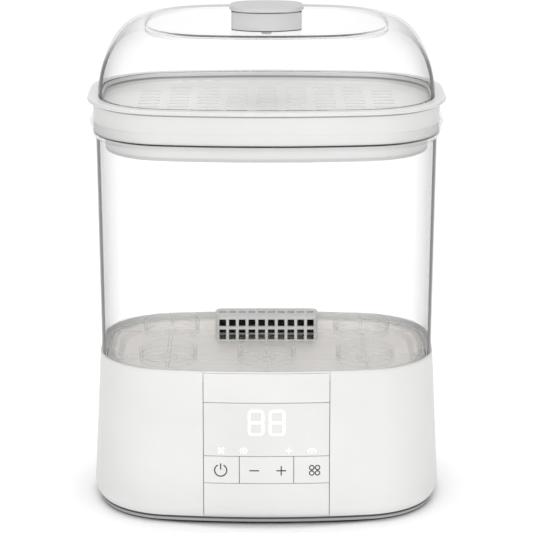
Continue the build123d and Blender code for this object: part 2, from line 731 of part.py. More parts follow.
def timer_rocker(band):
    """The minus and plus key, with the upright pin behind its middle that it rocks on."""
    face = key(band, POWER_KEY_EDGE, MODE_KEY_EDGE, [KEY_CENTRES["minus"], KEY_CENTRES["plus"]])
    low = KEYS_BOTTOM + 4.0
    high = KEYS_TOP - 4.0
    pin = rod(ROCKER_X, ROCKER_Y, low, high, ROCKER_R)
    web = box(ROCKER_X - 0.4, ROCKER_X + 0.4, front_y(KEYS_BOTTOM, WALL - 0.5), ROCKER_Y, low, high)
    return join([face, pin, web])


def power_inlet():
    """Two-pin mains inlet socket in the rear wall."""
    body = box(INLET_X - 13, INLET_X + 13, 70, 87.6, INLET_Z - 10, INLET_Z + 10)
    body = fillet(body.edges().filter_by(Axis.Y), 2.0)
    cavity = Pos(INLET_X, 87.6, INLET_Z) * Rot(90, 0, 0) * extrude(SlotOverall(19.0, 10.0), amount=14.0)
    pin_holes = [rod_y(INLET_X + s * 4.3, INLET_Z, 65, 80, 1.25) for s in (1, -1)]
    return (body - cavity).cut(*pin_holes)


def inlet_pins():
    """The inlet's two contact pins."""
    pins = [rod_y(INLET_X + s * 4.3, INLET_Z, 66, 82.0, 1.2) for s in (1, -1)]
    return [fillet(pin.edges().group_by(Axis.Y)[-1], 0.8) for pin in pins]


def mains_leads():
    """Two wires from the inlet's pins down to the power board."""
    leads = []
    for s in (1, -1):
        x = INLET_X + s * 4.3
        route = [(x, 66, INLET_Z), (x, 50, INLET_Z), (x, 36, 28), (x, 36, BOARD_Z + BOARD)]
        leads.append(lead(route, 1.2, 5.0))
    return leads


def heater_leads():
    """Two wires from the ring heater's tabs down to the power board."""
    leads = []
    end_y = ELEMENT_R * sin(radians(ELEMENT_OPENING / 2))
    for s in (1, -1):
        y = ELEMENT_Y + s * end_y
        route = [(57, y, 112.4 - 1.9), (57, y, 104), (84, y, 92), (84, y, BOARD_Z + BOARD)]
        leads.append(lead(route, 1.2, 5.0))
    return leads


def fan_leads():
    """Two wires from the motor to the control board."""
    leads = []
    for s in (1, -1):
        z = FAN_HEIGHT + s * 5
        x = -58 - s * 3
        route = [(-17.2, 14 + s * 3, z), (x, 14 + s * 3, z), (x, 14 + s * 3, BOARD_Z + BOARD)]
        leads.append(lead(route, 0.9, 5.0))
    return leads


def display_ribbon():
    """Flat cable from the display board down and back to the control board."""
    drop = box(-40, -28, -76.4, -75.8, 18.0, 60)
    run = box(-40, -28, -76.4, -55.0, 17.4, 18.0)
    turn = box(-60, -28, -55.0, -43.0, 17.4, 18.0)
    return join([drop, run, turn])


# ---------------------------------------------------------------- rack, chamber, tray, lid
def seat_points():
    """Centres of the rack's five bottle seats."""
    return [(x, -SEAT_Y) for x in (-SEAT_X, 0, SEAT_X)] + [(x, SEAT_Y) for x in (-SEAT_X, SEAT_X)]


def seat_rings(bottom, top):
    """The seats' ring walls between two heights."""
    rings = []
    for x, y in seat_points():
        rings.append(rod(x, y, bottom, top, SEAT_R) - rod(x, y, bottom - 1, top + 1, SEAT_R - SEAT_WALL))
    return rings


def cross(x, y, reach, bottom, top):
    """Two crossed ribs."""
    along = box(x - reach, x + reach, y - RIB, y + RIB, bottom, top)
    across = box(x - RIB, x + RIB, y - reach, y + reach, bottom, top)
    return [along, across]


def bottle_rack():
    """Clear rack: oval rim on the plate's flange, the foot of each seat and the ribs that join them."""
    low = RACK_BOTTOM
    rib_low = low + 0.4
    rim = section(
        (RACK_INSET, low),
        (RACK_INSET, RACK_RIM_TOP),
        (RACK_INSET + 2.0, RACK_RIM_TOP),
        (RACK_INSET + 2.0, low + 2.0),
        (RACK_INSET + 4.6, low + 2.0),
        (RACK_INSET + 4.6, low),
        rounds=(0, 0.8, 0.8, 0, 0.6, 0),
    )
    bars = [box(-120, 120, -SEAT_Y - RIB, -SEAT_Y + RIB, rib_low, RACK_TOP)]
    bars += [box(x - RIB, x + RIB, -70, 70, rib_low, RACK_TOP) for x in (-SEAT_X, SEAT_X)]
    bars += [box(-RIB, RIB, -70, 20, rib_low, RACK_TOP)]
    bars += [box(-SEAT_X, SEAT_X, 20 - RIB, 20 + RIB, rib_low, RACK_TOP)]
    bars += [box(s * 98 - 22, s * 98 + 22, SEAT_Y - RIB, SEAT_Y + RIB, rib_low, RACK_TOP) for s in (1, -1)]
    bars = join(bars) & slab(RACK_INSET + 1.0, low, RACK_TOP)
    bars = bars.cut(*[rod(x, y, low - 1, RACK_TOP + 1, SEAT_R - SEAT_WALL) for x, y in seat_points()])
    inside = []
    for x, y in seat_points():
        inside += cross(x, y, SEAT_R - 1.0, rib_low, RACK_TOP - 1.0)
        inside.append(rod(x, y, rib_low, RACK_TOP - 1.0, 7.0))
    rack = around(rim).fuse(bars, *seat_rings(rib_low, RACK_TOP), *inside)
    return rack.cut(*[rod(x, y, low - 1, RACK_TOP, 3.0) for x, y in seat_points()])


def rack_cups():
    """The seats' upper rings, each with a notch at the front."""
    rings = seat_rings(RACK_TOP, RACK_TOP + CUP_HEIGHT)
    notches = [Pos(x, y - SEAT_R + 1.5, RACK_TOP + 4.8) * Box(5.0, 5.0, 6.6) for x, y in seat_points()]
    return [ring - notch for ring, notch in zip(rings, notches)]


def chamber():
    """Clear tapered wall with a wider collar that takes the tray's band."""
    wall = section(
        (LID_INSET, SEAT),
        (6.3, SHELF - 3.4),
        (2.9, SHELF - 3.4),
        (2.6, CHAMBER_TOP),
        (2.6 + CLEAR_WALL - 0.2, CHAMBER_TOP),
        (5.2, SHELF),
        (8.4, SHELF),
        (LID_INSET + CLEAR_WALL, SEAT),
        rounds=(0.3, 0.6, 2.6, 0.7, 0.7, 1.0, 0.8, 0.3),
    )
    return around(wall)


def accessory_tray():
    """White tray: flange, outer band on the chamber's shelf, skirt inside the chamber, slotted floor."""
    rim = section(
        (0.4, FLANGE_BOTTOM),
        (0.4, FLANGE_TOP),
        (11.7, FLANGE_TOP),
        (11.9, TRAY_FLOOR),
        (22.0, TRAY_FLOOR),
        (22.0, TRAY_FLOOR - 2.0),
        (14.8, TRAY_FLOOR - 2.0),
        (16.6, SKIRT_BOTTOM),
        (14.2, SKIRT_BOTTOM),
        (12.4, TRAY_FLOOR - 2.0),
        (9.7, TRAY_FLOOR - 2.0),
        (9.7, FLANGE_TOP - 2.2),
        (7.0, FLANGE_TOP - 2.2),
        (8.0, SHELF),
        (5.8, SHELF),
        (4.7, FLANGE_BOTTOM),
        rounds=(1.2, 1.4, 0.8, 2.0, 0, 0, 0.8, 0.9, 0.9, 0.8, 0.5, 0.5, 0.5, 0.4, 0.6, 0.8),
    )
    tray = join([around(rim), slab(22.0, TRAY_FLOOR - 2.0, TRAY_FLOOR)])
    cuts = []
    for row in range(-4, 5):
        for column in range(-4, 5):
            at_corner = abs(row) == 4 and abs(column) == 4
            if not at_corner:
                slot = extrude(SlotOverall(17.0, 3.4), amount=4)
                cuts.append(Pos(23.0 * column, 13.0 * row, TRAY_FLOOR - 3) * slot)
    return tray.cut(*cuts)


def lid_outline(turn, half_width_change, half_depth_change, height):
    """The dome's oval at one point of its quarter-ellipse profile; turn runs from 0 to 90 degrees."""
    share = cos(radians(turn))
    base_radii = (R_LONG - LID_INSET, R_END - LID_INSET, R_CORNER - LID_INSET)
    radii = [crest + share * (base - crest) for base, crest in zip(base_radii, CREST_RADII)]
    half_width = CREST_HALF_WIDTH + half_width_change * share
    half_depth = CREST_HALF_DEPTH + half_depth_change * share
    return oval_face(oval_arcs(half_width, half_depth, *radii), FLANGE_TOP + height * sin(radians(turn)))


def lid_solid(inwards):
    """The dome filled in, with its surface moved inwards."""
    wide = HALF_WIDTH - LID_INSET - CREST_HALF_WIDTH - inwards
    deep = HALF_DEPTH - LID_INSET - CREST_HALF_DEPTH - inwards
    turns = (0, 14, 28, 42, 55, 67, 77, 85, 90)
    return loft([lid_outline(t, wide, deep, LID_HEIGHT - inwards) for t in turns])


CREST = oval_arcs(CREST_HALF_WIDTH, CREST_HALF_DEPTH, *CREST_RADII)


def sunken_top(inset, drop):
    """The space above the dome's sunken top, drawn in by inset and lowered by drop."""
    middle = RECESS_FLOOR - drop
    edge = RECESS_EDGE - drop
    upper = extrude(oval_face(CREST, edge, inset), amount=LID_TOP + 5 - edge)
    floor_arcs = oval_arcs(*RECESS_MIDDLE, 90.0, 80.0, 20.0)
    return join([upper, loft([oval_face(floor_arcs, middle), oval_face(CREST, edge, inset)])])


def lid_dome():
    """Clear dome with a sunken, gently dished top, and a hole for the knob's screw."""
    hollow = lid_solid(CLEAR_WALL) - sunken_top(RECESS_RIM - CLEAR_WALL, CLEAR_WALL)
    shell = lid_solid(0) - hollow - sunken_top(RECESS_RIM, 0)
    return shell - rod(0, 0, RECESS_FLOOR - 5, RECESS_FLOOR + 1, 2.6)


def grip_outline(inset, corner):
    """The grip block's plan: straight ends, bowed front and back."""
    x = KNOB_HALF - inset
    y = KNOB_CORNER - inset
    bow = KNOB_FRONT - inset
    edges = [
        ThreePointArc((-x, -y), (0, -bow), (x, -y)),
        Line((x, -y), (x, y)),
        ThreePointArc((x, y), (0, bow), (-x, y)),
        Line((-x, y), (-x, -y)),
    ]
    face = make_face(edges)
    return fillet(face.vertices(), corner)


def knob_stem():
    """Grey grip block, hollow underneath, standing on the recessed top."""
    height = KNOB_TOP - KNOB_CAP - RECESS_FLOOR
    block = Pos(0, 0, RECESS_FLOOR) * extrude(grip_outline(0, 3.0), amount=height)
    block = fillet(block.edges().group_by(Axis.Z)[0], 0.6)
    hollow = Pos(0, 0, RECESS_FLOOR) * extrude(grip_outline(2.4, 1.5), amount=height - 2.0)
    post = rod(0, 0, RECESS_FLOOR, RECESS_FLOOR + height, 4.5)
    return (block - hollow) + post - rod(0, 0, RECESS_FLOOR - 1, RECESS_FLOOR + 9, 1.6)


def knob_cap():
    """Oval cap that overhangs the grip block."""
    arcs = oval_arcs(29.0, 23.0, 70.0, 60.0, 17.0)
    cap = extrude(oval_face(arcs, KNOB_TOP - KNOB_CAP), amount=KNOB_CAP)
    cap = fillet(cap.edges().group_by(Axis.Z)[-1], 1.2)
    return fillet(cap.edges().group_by(Axis.Z)[0], 0.5)


def knob_screw():
    """Screw from inside the lid into the knob."""
    under = RECESS_FLOOR - CLEAR_WALL
    head = rod(0, 0, under - 2.4, under, 4.2)
    head = fillet(head.edges().group_by(Axis.Z)[0], 1.0)
    screw = head + rod(0, 0, under, RECESS_FLOOR + 8, SCREW_R)
    return screw.cut(*cross_slots(0, 0, under - 2.2, 4.6, 0.9, 1.6))


# ---------------------------------------------------------------- build and write
def save(name, shape):
    """Writes one sub-part; a list of separate solids shares one file."""
    items = shape if isinstance(shape, list) else [shape]
    solids = [solid for item in items for solid in item.solids()]
    shape = solids[0] if len(solids) == 1 else Compound(children=solids)
    shape.label = name
    export_step(shape, f"parts/{name}.step")


def main():
    os.makedirs("parts", exist_ok=True)
    band = wall_band()
    inner_band = wall_band(115.0, WALL + 0.2, WALL + 2.2)
    save("bottom_cover", bottom_cover())
    save("rubber_feet", rubber_feet())
    save("cover_screws", cover_screws())
    save("base_housing", base_housing())
    save("heating_plate", heating_plate())
    save("plate_seal", plate_seal())
    save("plate_studs", plate_studs())
    save("plate_brackets", plate_brackets())
    save("plate_nuts", plate_nuts())
    save("heating_element", heating_element())
    save("thermostat", thermostat())
    save("temperature_sensor", temperature_sensor())
    save("thermal_fuse", thermal_fuse())
    save("heat_shield", heat_shield())
    save("outlet_hood", outlet_hood())
    save("air_duct", air_duct())
    save("air_heater", air_heater())
    save("fan_housing", fan_housing())
    save("fan_motor", fan_motor())
    save("fan_shaft", fan_shaft())
    save("fan_impeller", fan_impeller())
    save("intake_duct", intake_duct())
    save("air_filter", air_filter())
    save("filter_cover", filter_cover(band))
    save("control_board", circuit_board(-1))
    save("power_board", circuit_board(1))
    save("board_screws", board_screws())
    save("control_chips", control_chips())
    save("transformer", transformer())
    save("relay", relay())
    save("capacitors", capacitors())
    save("mains_fuse", mains_fuse())
    save("display_board", display_board())
    save("display_module", display_module())
    save("indicator_lamps", indicator_lamps())
    save("key_switches", key_switches())
    save("panel_frame", panel_frame(inner_band))
    top_piece = panel_piece(band, -PANEL_HALF, PANEL_HALF, DISPLAY_TOP, PANEL_TOP)
    save("front_panel_top", top_piece - chamber_room())
    save("display_window", panel_piece(band, -PANEL_HALF, PANEL_HALF, KEYS_TOP, DISPLAY_TOP))
    save("front_panel_lower", panel_piece(band, -PANEL_HALF, PANEL_HALF, PANEL_BOTTOM, KEYS_BOTTOM))
    save("power_key", key(band, -PANEL_HALF, POWER_KEY_EDGE, [KEY_CENTRES["power"]]))
    save("timer_rocker", timer_rocker(band))
    save("mode_key", key(band, MODE_KEY_EDGE, PANEL_HALF, [KEY_CENTRES["mode"]]))
    save("power_inlet", power_inlet())
    save("inlet_pins", inlet_pins())
    save("mains_leads", mains_leads())
    save("heater_leads", heater_leads())
    save("fan_leads", fan_leads())
    save("display_ribbon", display_ribbon())
    save("bottle_rack", bottle_rack())
    save("rack_cups", rack_cups())
    save("chamber", chamber())
    save("accessory_tray", accessory_tray())
    save("lid_dome", lid_dome())
    save("knob_stem", knob_stem())
    save("knob_cap", knob_cap())
    save("knob_screw", knob_screw())


main()
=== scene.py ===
import bpy
import json
from math import atan2, cos, degrees, hypot, pi, radians, sin, sqrt, tan
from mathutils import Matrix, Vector


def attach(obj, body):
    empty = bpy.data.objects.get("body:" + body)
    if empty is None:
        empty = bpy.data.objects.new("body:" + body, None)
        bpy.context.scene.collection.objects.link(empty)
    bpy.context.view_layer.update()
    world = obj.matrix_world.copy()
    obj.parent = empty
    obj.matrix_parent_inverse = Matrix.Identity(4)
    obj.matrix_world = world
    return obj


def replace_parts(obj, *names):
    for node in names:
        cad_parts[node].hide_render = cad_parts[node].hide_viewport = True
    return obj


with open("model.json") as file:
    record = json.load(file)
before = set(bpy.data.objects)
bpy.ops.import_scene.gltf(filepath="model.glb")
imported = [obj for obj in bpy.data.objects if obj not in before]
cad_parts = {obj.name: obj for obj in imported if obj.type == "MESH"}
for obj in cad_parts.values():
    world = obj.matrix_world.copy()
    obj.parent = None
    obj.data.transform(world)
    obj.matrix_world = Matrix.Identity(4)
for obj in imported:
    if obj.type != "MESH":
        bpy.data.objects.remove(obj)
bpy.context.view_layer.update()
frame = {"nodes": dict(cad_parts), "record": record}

scene = bpy.context.scene
nodes = frame["nodes"]
MM = 0.001


# ---------------------------------------------------------------- materials
def link(tree, source, target):
    tree.links.new(source, target)


def add_node(tree, kind, **values):
    """A shader node with its settings and the values of its inputs."""
    node = tree.nodes.new("ShaderNode" + kind)
    for key, value in values.items():
        if hasattr(node, key):
            setattr(node, key, value)
        else:
            node.inputs[key.replace("_", " ")].default_value = value
    return node


def new_material(name):
    made = bpy.data.materials.new(name)
    made.use_nodes = True
    made.node_tree.nodes.clear()
    return made, made.node_tree


def noise(tree, scale, stretch=(1, 1, 1), detail=3.0):
    """A noise pattern in the row frame; stretch makes its grain longer along an axis."""
    place = add_node(tree, "TexCoord")
    turn = add_node(tree, "Mapping")
    turn.inputs["Scale"].default_value = stretch
    link(tree, place.outputs["Object"], turn.inputs["Vector"])
    pattern = add_node(tree, "TexNoise", Scale=scale, Detail=detail)
    link(tree, turn.outputs["Vector"], pattern.inputs["Vector"])
    return pattern.outputs["Fac"]


def ramp(tree, value, stops):
    """A colour ramp over value, from (position, colour) stops."""
    made = add_node(tree, "ValToRGB")
    points = made.color_ramp.elements
    while len(points) < len(stops):
        points.new(1.0)
    for point, (position, colour) in zip(points, stops):
        point.position = position
        point.color = (*colour, 1.0) if len(colour) == 3 else colour
    link(tree, value, made.inputs["Fac"])
    return made.outputs["Color"]


def spread(tree, value, low, high):
    """value, from 0 to 1, carried onto low to high."""
    made = add_node(tree, "MapRange")
    made.inputs["To Min"].default_value = low
    made.inputs["To Max"].default_value = high
    link(tree, value, made.inputs["Value"])
    return made.outputs["Result"]


def grey_stops(stops):
    return [(place, (value, value, value)) for place, value in stops]


def along(tree, axis, stops):
    """A value that follows (place in metres, value) stops along an axis of the row frame."""
    place = add_node(tree, "TexCoord")
    parts = add_node(tree, "SeparateXYZ")
    link(tree, place.outputs["Object"], parts.inputs["Vector"])
    first, last = stops[0][0], stops[-1][0]
    part = add_node(tree, "MapRange")
    part.inputs["From Min"].default_value = first
    part.inputs["From Max"].default_value = last
    link(tree, parts.outputs[axis], part.inputs["Value"])
    shares = [((at - first) / (last - first), value) for at, value in stops]
    return ramp(tree, part.outputs["Result"], grey_stops(shares))


def multiply(tree, one, other):
    """The product of two colours."""
    made = add_node(tree, "Mix", data_type="RGBA", blend_type="MULTIPLY")
    made.inputs[0].default_value = 1.0
    link(tree, one, made.inputs[6])
    link(tree, other, made.inputs[7])
    return made.outputs[2]


def solid(name, colour, rough, vary=0.03, grain=260.0, grain_depth=0.02, metallic=0.0, stretch=(1, 1, 1),
          emission=0.0, specular=0.5, upright=1.0, heights=()):
    """An opaque finish: a slightly uneven colour, gloss and surface.

    upright is how bright its walls are beside its level faces, as painted shade; heights are (height in
    metres, brightness) stops of painted shade.
    """
    made, tree = new_material(name)
    out = add_node(tree, "OutputMaterial")
    bsdf = add_node(tree, "BsdfPrincipled")
    bsdf.inputs["Metallic"].default_value = metallic
    bsdf.inputs["Specular IOR Level"].default_value = specular
    clouds = noise(tree, 14.0, stretch)
    fine = noise(tree, grain, stretch, 2.0)
    dark = tuple(c * (1 - vary) for c in colour)
    light = tuple(min(1.0, c * (1 + vary)) for c in colour)
    tone = ramp(tree, clouds, [(0.3, dark), (0.7, light)])
    # painted shade: the walls darker than the level faces
    if upright < 1.0:
        shape = add_node(tree, "NewGeometry")
        parts = add_node(tree, "SeparateXYZ")
        link(tree, shape.outputs["Normal"], parts.inputs["Vector"])
        tone = multiply(tree, tone, ramp(tree, parts.outputs["Z"], grey_stops([(0.3, upright), (0.8, 1.0)])))
    # painted shade and painted shadow lines at given heights
    if heights:
        tone = multiply(tree, tone, along(tree, "Z", heights))
    link(tree, tone, bsdf.inputs["Base Color"])
    link(tree, spread(tree, fine, rough * 0.85, rough * 1.15), bsdf.inputs["Roughness"])
    bump = add_node(tree, "Bump", Strength=0.25, Distance=grain_depth * MM)
    link(tree, fine, bump.inputs["Height"])
    link(tree, bump.outputs["Normal"], bsdf.inputs["Normal"])
    if emission:
        bsdf.inputs["Emission Color"].default_value = (1, 1, 1, 1)
        bsdf.inputs["Emission Strength"].default_value = emission
    link(tree, bsdf.outputs["BSDF"], out.inputs["Surface"])
    return made


def math(tree, operation, one, other, clamp=False):
    """One arithmetic step on two sockets or numbers."""
    made = add_node(tree, "Math", operation=operation, use_clamp=clamp)
    for socket, value in zip(made.inputs, (one, other)):
        if isinstance(value, (int, float)):
            socket.default_value = value
        else:
            link(tree, value, socket)
    return made.outputs["Value"]


# How much of its line a clear wall shows as its normal tips up, and how much it mirrors as it turns away.
UPRIGHT_SHARES = [(0.0, 1.0), (0.3, 0.85), (0.6, 0.3), (0.8, 0.12), (1.0, 0.05)]
MIRROR_SHARES = [(0.0, 0.012), (0.5, 0.018), (0.75, 0.06), (0.9, 0.25), (1.0, 0.6)]


def clear(name, stops, colour, front=1.0, gloss=1.0, depths=(), line=()):
    """Clear plastic that darkens where its wall is seen along its surface.

    stops are (how far the surface turns away, how much it hides). front scales that where it doesn't face
    sideways, and depths are (Y in metres, share) stops that scale it from front to back. line has stops of
    its own, for the nearer side of an upright wall.
    """
    made, tree = new_material(name)
    out = add_node(tree, "OutputMaterial")
    turned = add_node(tree, "LayerWeight", Blend=0.5)
    shape = add_node(tree, "NewGeometry")
    parts = add_node(tree, "SeparateXYZ")
    link(tree, shape.outputs["Normal"], parts.inputs["Vector"])
    sideways = math(tree, "ABSOLUTE", parts.outputs["X"], 0.0)
    hidden = math(tree, "MULTIPLY", ramp(tree, turned.outputs["Facing"], grey_stops(stops)),
                  ramp(tree, sideways, grey_stops([(0.15, front), (0.6, 1.0)])))
    if depths:
        hidden = math(tree, "MULTIPLY", hidden, along(tree, "Y", depths))
    if line:
        upwards = math(tree, "ABSOLUTE", parts.outputs["Z"], 0.0)
        upright = ramp(tree, upwards, grey_stops(UPRIGHT_SHARES))
        drawn = math(tree, "MULTIPLY", ramp(tree, turned.outputs["Facing"], grey_stops(line)), upright)
        nearer = math(tree, "SUBTRACT", 1.0, shape.outputs["Backfacing"])
        hidden = math(tree, "ADD", hidden, math(tree, "MULTIPLY", drawn, nearer), clamp=True)
    body = add_node(tree, "BsdfPrincipled", Roughness=0.3)
    body.inputs["Specular IOR Level"].default_value = 0.2
    dark = tuple(c * 0.9 for c in colour)
    link(tree, ramp(tree, noise(tree, 30.0), [(0.3, dark), (0.7, colour)]), body.inputs["Base Color"])
    through = add_node(tree, "BsdfTransparent")
    wall = add_node(tree, "MixShader")
    link(tree, hidden, wall.inputs["Fac"])
    link(tree, through.outputs["BSDF"], wall.inputs[1])
    link(tree, body.outputs["BSDF"], wall.inputs[2])
    mirror = add_node(tree, "BsdfGlossy", Roughness=0.05)
    shares = [(place, share * gloss) for place, share in MIRROR_SHARES]
    amount = ramp(tree, turned.outputs["Facing"], grey_stops(shares))
    both = add_node(tree, "MixShader")
    link(tree, amount, both.inputs["Fac"])
    link(tree, wall.outputs["Shader"], both.inputs[1])
    link(tree, mirror.outputs["BSDF"], both.inputs[2])
    link(tree, both.outputs["Shader"], out.inputs["Surface"])
    return made


# Brightness against height in metres, as painted shade: painted shadow lines and shaded edges that run level
# round the object.
# painted shade along the tray skirt's lower edge
SKIRT_SHADE = [(0.2890, 0.74), (0.2922, 0.76), (0.2936, 0.96), (0.2955, 1.0)]
# a painted shadow line under the tray's bead
BEAD_SHADE = [(0.3262, 1.0), (0.3267, 0.5), (0.3280, 0.4), (0.3284, 1.0)]
# a painted contact shadow along the grey ring's foot
CONTACT_SHADE = [(0.0, 0.02), (0.0025, 0.02), (0.0029, 1.0)]
# painted shade along the grey ring's top, under the housing
SEAM_SHADE = [(0.0046, 1.0), (0.0050, 0.2), (0.0066, 0.2)]
# a painted shadow where the knob's stem meets the recess floor
STEM_SHADE = [(0.3806, 0.05), (0.3813, 0.08), (0.3817, 1.0)]
# a painted shadow line under the knob's cap
CAP_SHADE = [(0.3945, 1.0), (0.3950, 0.15), (0.3957, 0.15), (0.3960, 1.0)]

WHITE = solid("white_plastic", (0.775, 0.775, 0.765), 0.38)
# The tray's white plastic as painted light: brighter on its level faces, with painted shade on its walls and
# painted shadow lines.
TRAY_PAINTED_LIGHT_AND_SHADE = solid("tray_plastic_painted_light_and_shade", (0.93, 0.93, 0.92), 0.38, upright=0.78, heights=SKIRT_SHADE + BEAD_SHADE)
PANEL = solid("panel_plastic", (0.775, 0.775, 0.765), 0.42)
DISPLAY = solid("display_plastic", (0.755, 0.755, 0.745), 0.30)
# the grey ring carries a painted contact shadow at its foot and painted shade under the housing
GREY = solid("base_grey", (0.41, 0.41, 0.42), 0.5, specular=0.08, heights=CONTACT_SHADE + SEAM_SHADE)
# the knob carries painted shadow lines at its stem's foot and under its cap
KNOB = solid("knob_grey", (0.64, 0.64, 0.65), 0.36, heights=STEM_SHADE + CAP_SHADE)
HOOD = solid("hood_plastic", (0.68, 0.68, 0.67), 0.4)
RUBBER = solid("rubber_grey", (0.12, 0.12, 0.125), 0.75, grain_depth=0.06)
SILICONE = solid("silicone", (0.72, 0.72, 0.70), 0.5)
STEEL = solid("plate_steel", (0.93, 0.90, 0.87), 0.5, vary=0.05, metallic=0.1, stretch=(0.12, 1.6, 1),
              grain=900.0)
FASTENER = solid("fastener_steel", (0.62, 0.62, 0.63), 0.3, metallic=1.0)
HEATER = solid("heater_metal", (0.50, 0.50, 0.51), 0.45, metallic=1.0)
BRASS = solid("brass_pins", (0.72, 0.57, 0.30), 0.28, metallic=1.0)
DUCT = solid("duct_plastic", (0.012, 0.012, 0.013), 0.7, specular=0.1)
FILTER = solid("filter_foam", (0.30, 0.31, 0.32), 0.95, vary=0.25, grain=700.0, grain_depth=0.5)
BOARD = solid("board_green", (0.03, 0.20, 0.09), 0.45)
BLACK = solid("black_parts", (0.02, 0.02, 0.022), 0.4)
LAMP = solid("lamp_white", (0.85, 0.85, 0.83), 0.3)
RED = solid("wire_red", (0.55, 0.05, 0.04), 0.45)
RIBBON = solid("ribbon_grey", (0.45, 0.45, 0.47), 0.5)
GLOW = solid("display_glow", (0.9, 0.9, 0.9), 0.5, emission=0.3)
INK = solid("key_ink", (0.03, 0.03, 0.032), 0.55)

# Clear finishes. Each list of stops is (how far the surface turns away, how much it hides).
GREY_EDGE = (0.05, 0.05, 0.052)
BLACK_EDGE = (0.02, 0.02, 0.022)
HAZE = [(0.0, 0.0), (0.35, 0.025), (0.55, 0.07), (0.72, 0.12), (0.92, 0.15), (1.0, 0.3)]
CHAMBER_LINE = [(0.70, 0.0), (0.735, 0.97), (0.85, 0.98), (0.89, 0.2), (1.0, 0.0)]
LID_LINE = [(0.67, 0.0), (0.71, 0.96), (0.84, 0.98), (0.88, 0.3), (1.0, 0.1)]
CHAMBER_OUT = clear("chamber_outside", HAZE, GREY_EDGE, 0.2, gloss=0.4, line=CHAMBER_LINE)
CHAMBER_IN = clear("chamber_inside", HAZE, GREY_EDGE, 0.2, gloss=0.3)
LID_OUT = clear("lid_outside", HAZE, GREY_EDGE, 0.3, gloss=0.4, line=LID_LINE)
LID_IN = clear("lid_inside", HAZE, GREY_EDGE, 0.3, gloss=0.3)
CLEAR_FLAT = clear("clear_flat", [(0.0, 0.01), (1.0, 0.02)], (0.3, 0.3, 0.3), gloss=0.4)
CLEAR_RIM = clear("clear_rim", [(0.0, 0.03), (0.6, 0.15), (1.0, 0.4)], GREY_EDGE, 0.12, gloss=0.3)
WALL_END = clear("wall_end", [(0.0, 0.4), (1.0, 0.6)], GREY_EDGE, gloss=0.1)
# The rack's clear plastic turns light grey where it is seen edge-on: a painted highlight along its rims.
RACK_HAZE = [(0.0, 0.02), (0.6, 0.06), (0.85, 0.25), (1.0, 0.6)]
RACK = clear("clear_rack", RACK_HAZE, (0.72, 0.72, 0.71), gloss=0.6)

# Edges that darken towards the front; these shares are against Y in metres.
SHELF_SHARES = [(-0.092, 1.0), (-0.080, 1.0), (-0.060, 0.6), (0.0, 0.3), (0.092, 0.3)]
CREST_SHARES = [(-0.080, 1.0), (-0.070, 0.9), (-0.056, 0.35), (-0.030, 0.2), (0.040, 0.2), (0.080, 0.5)]
SHELF_EDGE = [(0.0, 0.8), (0.8, 0.9), (1.0, 0.97)]
CREST_EDGE = [(0.0, 0.85), (0.6, 0.9), (1.0, 0.97)]
SHELF_LINE = clear("shelf_line", SHELF_EDGE, BLACK_EDGE, gloss=0.05, depths=SHELF_SHARES)
CREST_RIM = clear("crest_rim", CREST_EDGE, BLACK_EDGE, gloss=0.1, depths=CREST_SHARES)
CREST_FOOT = clear("crest_foot", [(0.0, 0.3), (1.0, 0.35)], BLACK_EDGE, gloss=0.1, depths=CREST_SHARES)

FINISHES = {
    "white_plastic": WHITE, "panel_plastic": PANEL, "display_plastic": DISPLAY, "base_grey": GREY,
    "knob_grey": KNOB, "clear_plastic": RACK, "rubber_grey": RUBBER, "silicone": SILICONE,
    "plate_steel": STEEL, "fastener_steel": FASTENER, "heater_metal": HEATER, "brass_pins": BRASS,
    "duct_plastic": DUCT, "filter_foam": FILTER, "board_green": BOARD, "black_parts": BLACK,
    "lamp_white": LAMP, "wire_red": RED, "ribbon_grey": RIBBON,
}

# the tray takes its copy of white plastic with painted light and shade
OWN_FINISHES = {"accessory_tray": TRAY_PAINTED_LIGHT_AND_SHADE, "outlet_hood": HOOD, "knob_screw": SILICONE}

for entry in frame["record"]["subparts"]:
    obj = nodes[entry["node"]]
    finish = OWN_FINISHES.get(entry["node"], FINISHES[entry["material_slot"]])
    obj.data.materials.clear()
    obj.data.materials.append(finish)


# ---------------------------------------------------------------- ovals and swept pieces
HALF_WIDTH, HALF_DEPTH = 140.0, 92.0
MASTER_RADII = (585.0, 990.0, 67.0)
CREST_SIZE = (95.0, 79.0)
CREST_RADII = (335.0, 312.0, 55.0)


def oval_arcs(half_width, half_depth, r_long, r_end, r_corner):
    """(centre x, centre y, radius, start angle, end angle) of the oval's eight tangent arcs, in degrees."""
    end_x = half_width - r_end
    long_y = half_depth - r_long
    gap = hypot(end_x, long_y)
    reach_long = r_long - r_corner
    reach_end = r_end - r_corner
    along = (reach_long**2 - reach_end**2 + gap**2) / (2 * gap)
    aside = sqrt(reach_long**2 - along**2)
    ux = end_x / gap
    uy = -long_y / gap
    x = along * ux + aside * uy
    y = long_y + along * uy - aside * ux
    if x < 0 or y < 0:
        x = along * ux - aside * uy
        y = long_y + along * uy + aside * ux
    low = degrees(atan2(y, x - end_x))
    high = degrees(atan2(y - long_y, x))
    return [
        (end_x, 0, r_end, -low, low),
        (x, y, r_corner, low, high),
        (0, long_y, r_long, high, 180 - high),
        (-x, y, r_corner, 180 - high, 180 - low),
        (-end_x, 0, r_end, 180 - low, 180 + low),
        (-x, -y, r_corner, 180 + low, 180 + high),
        (0, -long_y, r_long, 180 + high, 360 - high),
        (x, -y, r_corner, 360 - high, 360 - low),
    ]


def spaced(start, end, step):
    """Evenly spaced angles from start up to, but without, end."""
    count = max(1, round((end - start) / step))
    return [start + (end - start) * i / count for i in range(count)]


